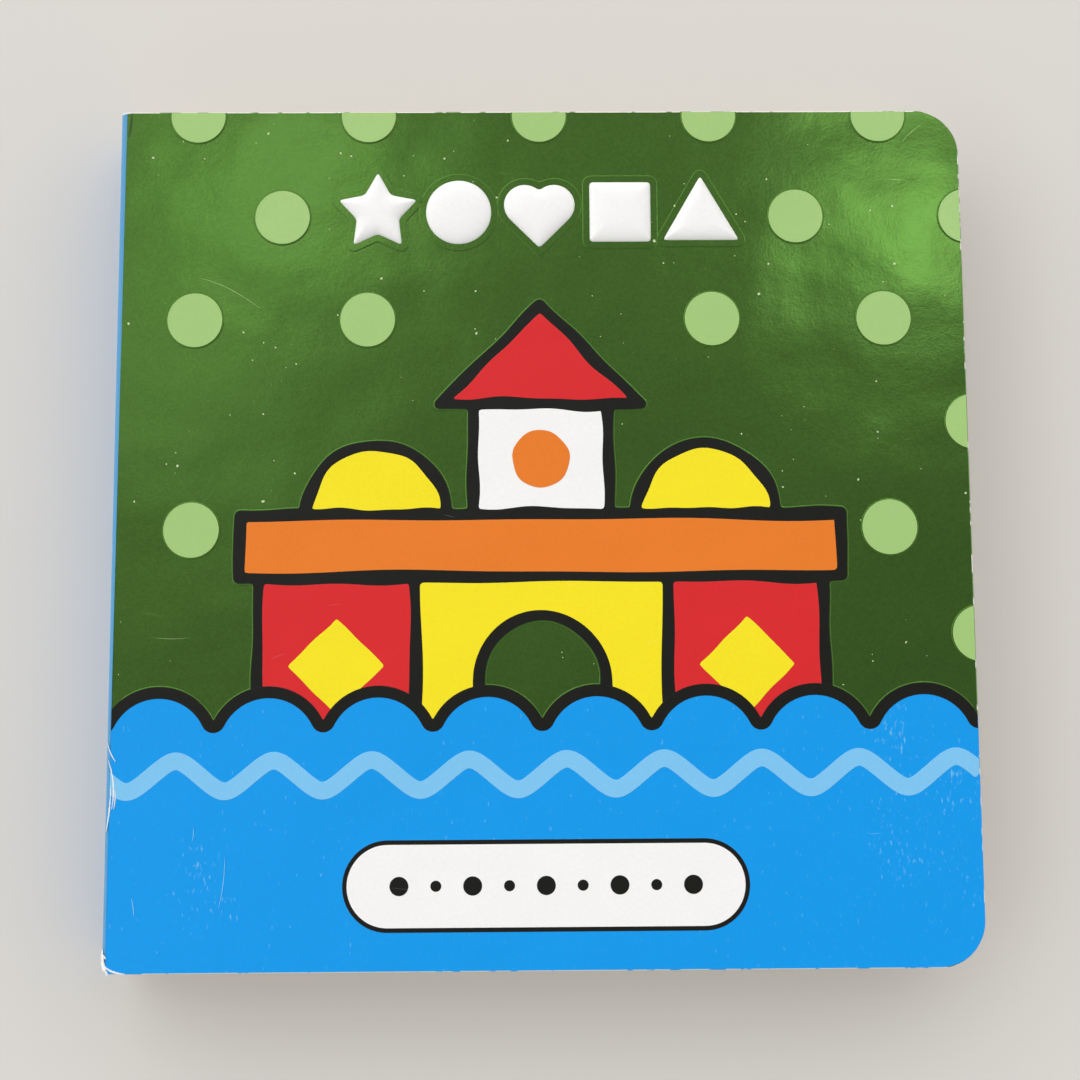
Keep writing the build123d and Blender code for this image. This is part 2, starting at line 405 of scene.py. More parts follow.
def skin(name, shells, materials, kind=0, caps=(0, 0), smooth=True, cap_smooth=False):
    """Closed shells from rings of points, shape (shells, rings, points, 3).

    Each quad joins neighbours on two rings, and a flat polygon closes each end ring.
    kind is the material number of each quad, over (rings - 1, points).
    """
    count, rings, points, _ = shells.shape
    ring = np.arange(rings - 1)[:, None] * points
    here = np.arange(points)[None, :]
    after = (here + 1) % points
    quads = np.stack([ring + here, ring + after, ring + points + after, ring + points + here], -1)
    base = np.arange(count) * rings * points
    quads = (quads[None] + base[:, None, None, None]).reshape(-1, 4)
    ends = here + base[:, None]
    faces = quads.tolist() + ends[:, ::-1].tolist() + (ends + (rings - 1) * points).tolist()
    mesh = bpy.data.meshes.new(name)
    mesh.from_pydata(shells.reshape(-1, 3), [], faces)
    kinds = np.broadcast_to(kind, (count, rings - 1, points)).reshape(-1)
    kinds = np.concatenate([kinds, np.full(count, caps[0]), np.full(count, caps[1])])
    shaded = np.broadcast_to(smooth, (count, rings - 1, points)).reshape(-1)
    shaded = np.concatenate([shaded, np.full(2 * count, cap_smooth)])
    mesh.polygons.foreach_set("material_index", kinds.astype(np.int32))
    mesh.polygons.foreach_set("use_smooth", shaded.astype(bool))
    for material in materials:
        mesh.materials.append(material)
    mesh.validate()
    mesh.update()
    piece = bpy.data.objects.new(name, mesh)
    bpy.context.scene.collection.objects.link(piece)
    return piece


def within_cover(points, margin):
    """Points outside the trimmed cover, less a margin, are moved to its edge.

    Both fore-edge corners are quarter circles, and so is the worn corner at the spine.
    At the spine the print ends where the fold's half-round starts.
    """
    size = bpy.context.scene.book_sizes
    x = np.clip(points.real, FRONT_LOW[0] + BOARD / 2, EDGE - margin)
    y = np.clip(points.imag, margin - EDGE, EDGE - margin)
    cut = size.corner_radius
    for side, end, radius in ((1, 1, cut), (1, -1, cut), (-1, -1, size.worn_corner)):
        dx = x * side - EDGE + radius
        dy = y * end - EDGE + radius
        reach = np.hypot(dx, dy)
        outside = (dx > 0) & (dy > 0) & (reach > radius - margin)
        scale = np.where(outside, (radius - margin) / np.maximum(reach, 1e-9), 1)
        x = np.where(outside, side * (EDGE - radius + dx * scale), x)
        y = np.where(outside, end * (EDGE - radius + dy * scale), y)
    return x + 1j * y


def plate(outlines, foot, top, slope=0.0, trim=None, rim=0.06 * MM):
    """Rings of a flat plate over each outline, shape (outlines, rings, points, 3).

    Foot and top are in mm over the foil. Over a share t from 0 to 1 the outline steps in
    from slope to nothing, and the height rises by the root of 1 - (1 - t)^2, the quarter
    round that film takes over a pressed edge. The last ring lies a rim's width further in,
    so that the top shades flat.
    """
    foot, top = level(foot), level(top)
    outlines = np.atleast_2d(outlines)
    share = np.linspace(0, 1, 6 if slope else 2)
    step = np.append(slope * (1 - share), -rim)
    height = np.append(foot + (top - foot) * np.sqrt(1 - (1 - share) ** 2), top)
    normal = np.stack([outward(outline) for outline in outlines])
    flat = outlines[:, None, :] + normal[:, None, :] * step[None, :, None]
    if trim is not None:
        flat = within_cover(flat, trim)
    high = np.broadcast_to(height[None, :, None], flat.shape)
    return np.stack([flat.real, flat.imag, high], -1)


def dome(outlines, centres, foot, top, flatness=2.9, rings=15):
    """Rings of a puffed shape: the outline shrinks to its centre as the height grows.

    At an angle a from 0 to nearly 90 degrees the outline is scaled by cos(a)^(2/flatness)
    and the height is foot + (top - foot) sin(a). Near the top the rings become circles.
    """
    angle = np.linspace(0, 0.5 * np.pi * 0.997, rings)
    scale = np.cos(angle) ** (2 / flatness)
    reach = outlines - centres[:, None]
    mean = np.abs(reach).mean(1, keepdims=True)
    circle = mean * reach / np.abs(reach)
    mix = (1 - scale)[None, :, None] ** 1.5
    shape = (1 - mix) * reach[:, None, :] + mix * circle[:, None, :]
    flat = centres[:, None, None] + shape * scale[None, :, None]
    high = np.broadcast_to((foot + (top - foot) * np.sin(angle))[None, :, None], flat.shape)
    return np.stack([flat.real, flat.imag, high], -1)


# Columns of a board's section: half-round, both ends of the flat top, and two rims. The
# quad after the first rim is the fore-edge cut, and after the second the underside.
BEAD, TOP, RIM = 25, 2, 4
COLUMN = np.arange(BEAD + TOP + 2 * RIM)
CUT, UNDER = COLUMN[[-RIM - 1, -1]]


def board(low_z, high_z, worn=0.0):
    """Rings of a cover, its section carried from the foot to the head, and its rubbed rows.

    The section is a half-round at the spine and a cut at the fore-edge, whose edges are
    rubbed to quarter circles of radius edge_wear. Within corner_radius of head and foot
    the cut follows a quarter circle. Over the last edge_wear of both ends the section
    draws in by a quarter circle. At a worn foot the half-round follows one as well.
    """
    size = bpy.context.scene.book_sizes
    radius, rub, bead = size.corner_radius, size.edge_wear, (high_z - low_z) / 2
    quarter = np.radians(np.linspace(0, 90, RIM))

    # Rows: close at the corners and the rubbed ends, and 41 between
    end = EDGE - radius + radius * np.sin(np.radians(np.linspace(0, 85, 18)))
    rim = EDGE - rub + rub * np.sin(quarter)
    frayed = worn * (1 - np.sin(np.radians([0, 20, 40, 60, 75]))) - EDGE
    y = np.concatenate([end, -end, rim, -rim, frayed, np.linspace(-end[0], end[0], 41)])
    y = np.unique(y.round(8))

    over = np.maximum(np.abs(y) - (EDGE - radius), 0)
    right = EDGE - radius + np.sqrt(np.maximum(radius**2 - over**2, 0))
    lost = np.clip(worn - EDGE - y, 0, worn)
    face = worn - EDGE - np.sqrt(worn**2 - lost**2)
    shift = np.maximum(face - FRONT_LOW[0], 0)[:, None]
    rows = np.clip(np.abs(y) - EDGE + rub, 0, rub)[:, None]
    drawn = rub - np.sqrt(rub**2 - rows**2)

    angle = np.radians(np.linspace(270, 90, BEAD))
    x_bead = FRONT_LOW[0] + bead + shift + (bead - drawn) * np.cos(angle)
    z_bead = (low_z + high_z) / 2 + (bead - drawn) * np.sin(angle)
    x_cut = right[:, None] - rub + rub * np.sin(quarter)
    z_cut = np.minimum(high_z - rub + rub * np.cos(quarter), high_z - drawn)
    top = high_z - drawn
    x_fold = fold_line(y)[:, None] + shift
    x = np.concatenate([x_bead, x_fold, x_fold + 1 * MM, x_cut, x_cut[:, ::-1]], 1)
    z = np.concatenate([z_bead, top, top, z_cut, low_z + high_z - z_cut[:, ::-1]], 1)
    shells = np.stack([x, np.broadcast_to(y[:, None], x.shape), z], -1)[None]
    return shells, rows[:-1] + rows[1:] > rub / 1000


def seat(piece, body, record_slot, *nodes):
    """Hangs a finished piece on its body and hides the nodes it replaces. The slot it is given is
    not used.
    """
    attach(piece, body)
    if nodes:
        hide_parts(*nodes)


def printed(name, shells, *materials, **closing):
    """One piece of the print on the front cover, closed as skin says."""
    seat(skin(name, shells, materials, **closing), "front_cover", "foil_print")


def finish(name, make, *details):
    """The named material, made the first time it is asked for."""
    return bpy.data.materials.get(name) or make(name, *details)


def green_foil():
    """The foil, in the panel's colour."""
    return finish("hot_stamped_foil", foil, bpy.context.scene.book_colours.foil)


def film_ink(colour):
    """The laminated ink of that name, in the panel's colour."""
    rubs = BLUE_RUBS if colour == "blue" else ()
    held = getattr(bpy.context.scene.book_colours, colour)
    return finish(f"film_laminated_{colour}_ink", ink, held, rubs)


# Sizes and colours that a user would change


def length(name, description, default):
    """A length in metres."""
    return FloatProperty(name=name, description=description, default=default, min=0, unit="LENGTH")


def swatch(name, description, code):
    """A colour."""
    return FloatVectorProperty(
        name=name, description=description, default=linear(code), min=0, max=1, subtype="COLOR"
    )


class BookSizes(bpy.types.PropertyGroup):
    """Sizes of the cover's print and wear, in metres."""

    corner_radius: length("Corner radius", "Round of the fore-edge corners", 9.5 * MM)
    worn_corner: length("Worn corner", "Round worn on the corner at the spine's foot", 2.4 * MM)
    edge_wear: length("Edge wear", "Width of the white wear along the cut edges", 0.25 * MM)
    fold_head: length("Fold at the head", "Width of the spine's blue at the head", 1.3 * MM)
    fold_foot: length("Fold at the foot", "Width of the spine's blue at the foot", 0.9 * MM)
    press_slope: length("Pressed slope", "Width of the slope round a raised shape", 0.32 * MM)
    title_line: length("Title line", "Height of the domed shapes over the middle", 67 * MM)
    title_pitch: length("Title pitch", "Distance between two domed shapes", 17 * MM)
    title_size: length("Title size", "Width of a domed shape", 15 * MM)
    dot_diameter: length("Dot", "Diameter of a dot", 11.5 * MM)
    dot_pitch_x: length("Dot pitch across", "Distance between two dots of a row", 36 * MM)
    dot_pitch_y: length("Dot pitch down", "Distance between two rows of dots", 22 * MM)
    band_height: length("Band", "Height of the band up to its cusps", 50 * MM)
    scallop_rise: length("Scallop", "Rise of a scallop over its cusps", 7 * MM)
    line_width: length("Line", "Width of the printed black line", 2.4 * MM)
    stripe_width: length("Stripe", "Width of the pale zigzag stripe", 3.5 * MM)
    label_width: length("Label width", "Width of the label with its line", 82 * MM)
    label_height: length("Label height", "Height of the label with its line", 18.2 * MM)
    scallops: IntProperty(name="Scallops", description="Number of scallops", default=8, min=1)


class BookColours(bpy.types.PropertyGroup):
    """Colours of the foil, the inks and the board."""

    foil: swatch("Foil", "Green foil of the ground", "#5d883e")
    leaf: swatch("Dot green", "Light green ink of the dots", "#a5cb7b")
    blue: swatch("Blue", "Blue ink of the band, the spine and the back", "#009bee")
    # The fold blue is a lighter, greyer copy of the blue ink: the sheen of the curved fold,
    # painted in
    fold: swatch("Fold", "Blue ink where the folds have dulled it", "#549dd0")
    pale: swatch("Pale blue", "Pale blue ink of the zigzag stripe", "#80c8f4")
    red: swatch("Red", "Red ink", "#dc2529")
    orange: swatch("Orange", "Orange ink", "#ec7e24")
    yellow: swatch("Yellow", "Yellow ink", "#fae71c")
    white: swatch("White", "White ink", "#f9f8f6")
    black: swatch("Black", "Black ink of the lines", "#0d0e07")
    inside: swatch("Inside", "Coated board inside the covers and on the leaves", "#efebe1")
    torn: swatch("Torn paper", "Bare paper where the print is torn", "#f4f5f2")
    # A dark green painted in as the shade in the crease at the head, not a colour of the foil
    crack: swatch("Crack", "Cracked foil in the crease at the head", "#2f4a1d")
    core: swatch("Core", "Cut edge of the board", "#ece7db")


# Outlines of the print


def fold_line(y):
    """Where the foil starts beside the spine: the fold's blue narrows from head to foot.

    It narrows evenly down to 40 mm below the middle, and stays so from there.
    """
    size = bpy.context.scene.book_sizes
    share = np.clip((y + 40 * MM) / (EDGE + 40 * MM), 0, 1)
    return FRONT_LOW[0] + size.fold_foot + (size.fold_head - size.fold_foot) * share


def scallop_edge(x):
    """Height of the scalloped line: equal arcs of a circle that meet in cusps."""
    size = bpy.context.scene.book_sizes
    pitch = 2 * EDGE / size.scallops
    radius = (pitch**2 / 4 + size.scallop_rise**2) / (2 * size.scallop_rise)
    across = ((x + EDGE) / pitch % 1 - 0.5) * pitch
    return size.band_height - EDGE + size.scallop_rise - radius + np.sqrt(radius**2 - across**2)


def lowered(x, depth):
    """The scalloped line moved into the band: the lowest reach of a disc rolled along it."""
    reach = np.linspace(-depth, depth, 61)
    return (scallop_edge(x[:, None] + reach) - np.sqrt(depth**2 - reach**2)).min(1)


def star(size):
    """Ten corners at equal angles, alternately at 0.58 and 0.31 of the size."""
    turn = np.exp(1j * np.radians(90 + 36 * np.arange(10)))
    return turn * size * np.where(np.arange(10) % 2, 0.31, 0.58)


def heart(size, grow):
    """Two arcs on the upper sides of a square that stands on its corner, all grown."""
    side = size / (1 + math.sqrt(0.5))
    lobe = side / math.sqrt(8)
    radius = side / 2 + grow
    notch = math.degrees(math.acos(-lobe / radius))
    right = arc(lobe + 0.5j * lobe, radius, -45, notch)
    left = arc(-lobe + 0.5j * lobe, radius, 180 - notch, 225)
    return np.concatenate([right, left, [-2.5j * lobe - math.sqrt(2) * 1j * grow]])


def title_outlines(size, grow, soft):
    """Star, disc, heart, square and triangle, grown and softened, 240 points each."""
    corner = 0.43 * size * (1 + 1j)
    tips = -0.1j * size + 0.62 * size * np.exp(1j * np.radians([90, 210, 330]))
    paths = (
        grown(star(size), grow),
        arc(0, 0.46 * size + grow, 0, 352.5),
        heart(size, grow),
        grown(rectangle(-corner, corner), grow),
        grown(tips, grow),
    )
    return np.stack([softened(path, soft, count=240) for path in paths])


def half_round(x):
    """Half-round on the plank, flat side down."""
    return arc(x + 3j, 14.5, 0, 180, 37) * MM


def pile_outline():
    """Outline of the whole pile, with the arch as a bay that opens at the foot."""
    right = [13 - 46j, 58 - 46j, 58 - 10j, 62 - 10j, 62 + 3j]
    right = np.concatenate([np.array(right) * MM, half_round(34)])
    upper = np.array([14 + 3j, 14 + 26j, 21 + 26j, 47j, -21 + 26j, -14 + 26j, -14 + 3j]) * MM
    left = np.array([-62 + 3j, -62 - 10j, -58 - 10j, -58 - 46j, -13 - 46j]) * MM
    return np.concatenate([right, upper, half_round(-34), left, arc(-31j, 13, 180, 0) * MM])


# Top over the foil and sway of the drawn edge, in mm, of a block's face and a shape on it
FACE, ON_FACE = (0.23, 0.3), (0.26, 0.12)


def pile_fields():
    """Name, ink, layer and outlines of each group of faces."""
    block = rectangle(26 - 46j, 58 - 10j) * MM
    arch = np.array([13 - 46j, 26 - 46j, 26 - 10j, -26 - 10j, -26 - 46j, -13 - 46j]) * MM
    arch = np.concatenate([arch, arc(-31j, 13, 180, 0) * MM])
    roof = np.array([-21 + 26j, 21 + 26j, 47j]) * MM
    diamonds = [diamond(x - 28j, 11.5) * MM for x in (-42, 42)]
    return (
        ("pile_side_blocks", "red", FACE, [block, block - 84 * MM]),
        ("pile_roof", "red", FACE, [roof]),
        ("pile_arch", "yellow", FACE, [arch]),
        ("pile_half_rounds", "yellow", FACE, [half_round(34), half_round(-34)]),
        ("pile_plank", "orange", FACE, [rectangle(-62 - 10j, 62 + 3j) * MM]),
        ("pile_middle_block", "white", FACE, [rectangle(-14 + 3j, 14 + 26j) * MM]),
        ("pile_diamonds", "yellow", ON_FACE, diamonds),
        ("pile_disc", "orange", ON_FACE, [arc(14.5j, 7.2, 0, 352.5) * MM]),
    )


# Half width, lower and upper end of each area that the dots stay clear of
KEEP_OUT = np.array([(41.5, 59.5, 74.5), (62, -46, 3), (48.5, 3, 17.5), (21, 26, 47)]) * MM


# Wear, and the painted shade of a crease

# Centre and reach in mm of each scuff in the blue
BLUE_RUBS = ((80, -62, 22), (72, -43, 10), (-68, -70, 12), (86, -50, 8))

# Foot and top over the foil, in mm, of a mark in the bare foil and of one in the band
IN_FOIL, IN_BAND = (-0.05, 0.03), (0.15, 0.3)

# Tone, layer, and the start, control point, end and width in mm of each bent strip
WEAR_AND_SHADE_MARKS = {
    "fold_creases": (
        "torn",
        IN_BAND,
        (-88.1 - 43.1j, -87.5 - 45.5j, -86.3 - 47.0j, 0.22),
        (-87.8 - 46.7j, -86.0 - 51.6j, -86.9 - 56.5j, 0.32),
        (-87.2 - 51.5j, -87.1 - 57.0j, -88.0 - 61.0j, 0.3),
        (-86.3 - 52.5j, -86.1 - 54.5j, -86.5 - 56.5j, 0.2),
    ),
    "frayed_corner": (
        "torn",
        IN_BAND,
        (-88.2 - 84.0j, -88.5 - 87.2j, -87.3 - 88.4j, 1.1),
        (-88.0 - 86.8j, -86.9 - 88.6j, -83.6 - 88.8j, 0.42),
        (-87.7 - 88.0j, -86.9 - 88.5j, -87.2 - 89.2j, 0.45),
        (-87.9 - 85.2j, -87.7 - 85.5j, -87.4 - 85.9j, 0.5),
    ),
    "frayed_head": ("torn", IN_FOIL, (-88.2 + 88.4j, -87.7 + 88.9j, -85.6 + 88.85j, 0.4)),
    # The head's crease shows as a dark strip: painted shade, not a crack in the foil
    "head_crack": ("crack", IN_FOIL, (-86.1 + 88.6j, -86.2 + 86.0j, -86.7 + 83.2j, 0.5)),
    "blue_scratches": (
        "pale",
        IN_BAND,
        (-82.5 - 74.0j, -82.1 - 75.5j, -82.0 - 77.5j, 0.2),
        (-64.0 - 66.0j, -63.9 - 71.0j, -65.1 - 76.4j, 0.16),
        (-70.5 - 60.2j, -70.2 - 61.5j, -70.6 - 63.0j, 0.16),
    ),
    "foil_scratches": (
        "leaf",
        IN_FOIL,
        (-71.0 + 53.0j, -65.0 + 51.6j, -58.5 + 46.5j, 0.1),
        (77.0 + 82.0j, 79.0 + 84.6j, 81.5 + 86.0j, 0.1),
    ),
}


def torn_strip(mark, seed):
    """A strip about a quadratic Bezier curve, roughened by seeded steps.

    At share t of the curve its width is the given one times the root of sin(pi t).
    """
    start, control, end, width = mark
    share = np.linspace(0.004, 0.996, 48)
    middle = start * (1 - share) ** 2 + 2 * control * share * (1 - share) + end * share**2
    along = 2 * (control - start) * (1 - share) + 2 * (end - control) * share
    side = -0.5j * along / np.abs(along) * width * np.sqrt(np.sin(np.pi * share))
    rough = np.random.default_rng(seed).uniform(0.55, 1.1, (2, len(share)))
    right = middle + side * rough[0]
    left = middle - side * rough[1]
    return np.concatenate([right, left[::-1]]) * MM


# Pieces


class BOOK_OT_front_board(bpy.types.Operator):
    """Builds the front cover's board: foil ground, blue fold lightened by painted sheen, and worn
    edges, white at the foot as a painted highlight
    """

    bl_idname = "book.front_board"
    bl_label = "Front board"

    def execute(self, context):
        colours = context.scene.book_colours
        shells, rubbed = board(FRONT_LOW[2], level(0), context.scene.book_sizes.worn_corner)
        materials = [
            green_foil(),
            # The fold's half-round takes the fold blue, whose lightness is painted sheen
            film_ink("fold"),
            finish("guillotined_board", cut_board, colours.core),
            finish("coated_board", coated_board, colours.inside),
            finish("rubbed_front_edge", rubbed_edge_and_highlight, "foil"),
        ]
        # Round the section: half-round and fold, top, upper rim, cut and lower rim, inside
        kind = np.repeat([1, 0, 4, 2, 3], [BEAD, TOP, RIM - 1, RIM, 1])
        kind = np.where(rubbed, np.where(COLUMN < CUT, 4, 2), kind)
        smooth = rubbed | ~np.isin(COLUMN, [BEAD + 1, CUT, UNDER])
        piece = skin("front_board", shells, materials, kind, (2, 2), smooth)
        seat(piece, "front_cover", "foil_print", "front_cover")
        return {"FINISHED"}


class BOOK_OT_back_board(bpy.types.Operator):
    """Builds the back cover's board, blue outside and plain coated board inside"""

    bl_idname = "book.back_board"
    bl_label = "Back board"

    def execute(self, context):
        colours = context.scene.book_colours
        shells, rubbed = board(BACK_LOW[2], BACK_HIGH[2])
        materials = [
            finish("guillotined_board", cut_board, colours.core),
            film_ink("blue"),
            finish("coated_board", coated_board, colours.inside),
            finish("rubbed_back_edge", rubbed_edge_and_highlight, "blue"),
        ]
        # Round the section: half-round, inside, upper rim and cut, lower rim, outside
        kind = np.repeat([1, 2, 0, 3, 1], [BEAD - 1, TOP + 1, RIM, RIM - 1, 1])
        outer = (COLUMN < BEAD - 1) | (COLUMN > CUT)
        kind = np.where(rubbed, np.where(outer, 3, 0), kind)
        smooth = rubbed | ~np.isin(COLUMN, [BEAD - 1, BEAD, BEAD + 1, CUT, UNDER])
        piece = skin("back_board", shells, materials, kind, (0, 0), smooth)
        seat(piece, "back_cover", "cover_print", "back_cover")
        return {"FINISHED"}


class BOOK_OT_foil_dots(bpy.types.Operator):
    """Builds the staggered dots, pressed up from the foil and printed light green"""

    bl_idname = "book.foil_dots"
    bl_label = "Foil dots"

    def execute(self, context):
        size = context.scene.book_sizes
        head_margin, spine_margin, clearance = 1 * MM, 17 * MM, 2 * MM
        row, column = np.meshgrid(np.arange(6), np.arange(5), indexing="ij")
        y = EDGE - head_margin - row * size.dot_pitch_y
        x = spine_margin - EDGE + (column + row % 2 / 2) * size.dot_pitch_x
        reach = size.dot_diameter / 2 + clearance
        half, low, high = KEEP_OUT.T[:, :, None, None]
        hit = (np.abs(x) < half + reach) & (y > low - reach) & (y < high + reach)
        free = ~hit.any(0) & (y > size.band_height - EDGE)
        centres = (x + 1j * y)[free]
        ring = np.exp(2j * np.pi * np.arange(120) / 120)
        outlines = centres[:, None] + size.dot_diameter / 2 * ring
        shells = plate(outlines, -0.02, 0.2, size.press_slope, trim=size.edge_wear)
        printed("foil_dots", shells, green_foil(), film_ink("leaf"), caps=(0, 1))
        return {"FINISHED"}


class BOOK_OT_title_shapes(bpy.types.Operator):
    """Builds the row of five puffed white shapes and the pressed step round each"""

    bl_idname = "book.title_shapes"
    bl_label = "Title shapes"

    def execute(self, context):
        size = context.scene.book_sizes
        width = size.title_size
        centre = (np.arange(5) - 2) * size.title_pitch + 1j * size.title_line
        # The heart and the triangle rise to points below their middles
        crown = np.array([0, 0, -0.03j, 0, -0.1j]) * width
        outlines = title_outlines(width, 0, 0.55 * MM) + centre[:, None]
        shells = dome(outlines, centre + crown, level(0), FRONT_HIGH[2])
        printed("title_shapes", shells, film_ink("white"), cap_smooth=True)

        wider = title_outlines(width, 1.25 * MM, 0.6 * MM) + centre[:, None]
        printed("title_steps", plate(wider, -0.02, 0.1, size.press_slope), green_foil())
        return {"FINISHED"}


class BOOK_OT_toy_pile(bpy.types.Operator):
    """Builds the pile of toy blocks: a pressed black outline and a field for each face"""

    bl_idname = "book.toy_pile"
    bl_label = "Toy pile"

    def execute(self, context):
        size = context.scene.book_sizes
        half_line, soft = size.line_width / 2, 0.35 * MM
        outline = softened(grown(pile_outline(), half_line), soft)
        outline = hand_drawn(outline, 0.25 * MM, seed=20, turns=np.arange(9, 40, 5))
        shells = plate(outline, -0.02, 0.2, size.press_slope)
        printed("pile_outline", shells, green_foil(), film_ink("black"), caps=(0, 1))
        for name, colour, (top, sway), fields in pile_fields():
            paths = [softened(grown(field, -half_line), soft, count=360) for field in fields]
            drawn = [hand_drawn(path, sway * MM, seed) for seed, path in enumerate(paths)]
            printed(name, plate(np.stack(drawn), 0.15, top), film_ink(colour))
        return {"FINISHED"}


class BOOK_OT_foot_band(bpy.types.Operator):
    """Builds the blue scalloped band, its black line and its pale zigzag stripe"""

    bl_idname = "book.foot_band"
    bl_label = "Foot band"

    def execute(self, context):
        size = context.scene.book_sizes
        trim = size.edge_wear
        x = np.linspace(EDGE, -EDGE, 1200)

        # The pressed step stays 1 mm inside the cut edges and 3 mm from the spine
        inset = np.linspace(EDGE - 1 * MM, FRONT_LOW[0] + 3 * MM, 1000)
        low = -1j * (EDGE - 1 * MM)
        path = np.concatenate([inset[[-1, 0]] + low, inset + 1j * scallop_edge(inset)])
        path = softened(path, 0.15 * MM)
        shells = plate(path, -0.02, 0.2, size.press_slope, trim=1 * MM)
        printed("band_step", shells, green_foil())

        path = np.concatenate([x[[-1, 0]] - 1j * EDGE, x + 1j * lowered(x, size.line_width / 2)])
        path = softened(path, 0.15 * MM)
        printed("band_blue", plate(path, -0.02, 0.24, trim=trim), film_ink("blue"))

        upper = x + 1j * scallop_edge(x)
        lower = x + 1j * lowered(x, size.line_width)
        path = softened(np.concatenate([upper, lower[::-1]]), 0.2 * MM)
        printed("band_line", plate(path, 0.0, 0.27, trim=trim), film_ink("black"))

        # Nine rounded zigzags, 50 mm below the middle of the cover
        swing = np.arcsin(0.8 * np.sin(2 * np.pi * 9 * x / (2 * EDGE))) * 3.3 * MM
        middle = x + 1j * (swing - 50 * MM)
        along = np.gradient(middle)
        side = -1j * along / np.abs(along) * size.stripe_width / 2
        path = softened(np.concatenate([middle + side, (middle - side)[::-1]]), 0.3 * MM)
        printed("band_stripe", plate(path, 0.2, 0.26, trim=trim), film_ink("pale"))
        return {"FINISHED"}


class BOOK_OT_label(bpy.types.Operator):
    """Builds the white label with its thin black line and a plain row of dots"""

    bl_idname = "book.label"
    bl_label = "Label"

    def execute(self, context):
        size = context.scene.book_sizes
        radius = size.label_height / 2
        reach = size.label_width / 2 - radius
        centre = 0.6 * MM - 72.1j * MM
        for name, inset, top in (("black", 0.0, 0.27), ("white", 0.9 * MM, 0.3)):
            ends = [arc(reach, radius - inset, -90, 90), arc(-reach, radius - inset, 90, 270)]
            path = centre + softened(np.concatenate(ends), 0.2 * MM)
            printed(f"label_{name}", plate(path, 0.2, top), film_ink(name))

        # Nine dots 7.4 mm apart, by turns large and small
        across = (np.arange(9) - 4) * 7.4 * MM
        dots = np.where(np.arange(9) % 2, 1.1, 1.9) * MM
        ring = np.exp(2j * np.pi * np.arange(48) / 48)
        outlines = centre + across[:, None] + dots[:, None] * ring
        printed("label_dots", plate(outlines, 0.25, 0.325), film_ink("black"))
        return {"FINISHED"}


class BOOK_OT_wear_and_shade_marks(bpy.types.Operator):
    """Builds the creases beside the spine, the frayed corners, the scratches and the painted shade
    in the head's crease
    """

    bl_idname = "book.wear_marks"
    bl_label = "Wear marks"

    def execute(self, context):
        white = context.scene.book_colours.torn
        torn = finish("torn_paper", cut_board, white, "#e9ebe8", "#dfe3e2")
        bead = BOARD / 2
        for name, (tone, (foot, top), *marks) in WEAR_AND_SHADE_MARKS.items():
            outlines = np.stack([torn_strip(mark, seed) for seed, mark in enumerate(marks)])
            shells = plate(outlines, foot, top, rim=0)
            # Over the spine edge the strips bend down with its half-round
            over = np.clip((FRONT_LOW[0] + bead - shells[..., 0]) / bead, 0, 1)
            shells[..., 2] -= bead * (1 - np.sqrt(1 - over**2))
            printed(name, shells, torn if tone == "torn" else film_ink(tone))
        return {"FINISHED"}


class BOOK_OT_spine_and_leaves(bpy.types.Operator):
    """Gives the spine strip its blue print and the leaves their cut edges and faces"""

    bl_idname = "book.spine_and_leaves"
    bl_label = "Spine and leaves"

    def execute(self, context):
        leaves = finish("leaf_board", leaf_board, context.scene.book_colours)
        for node, material in (("spine", film_ink("blue")), ("page_block", leaves)):
            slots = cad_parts[node].data.materials
            slots.clear()
            slots.append(material)
        return {"FINISHED"}


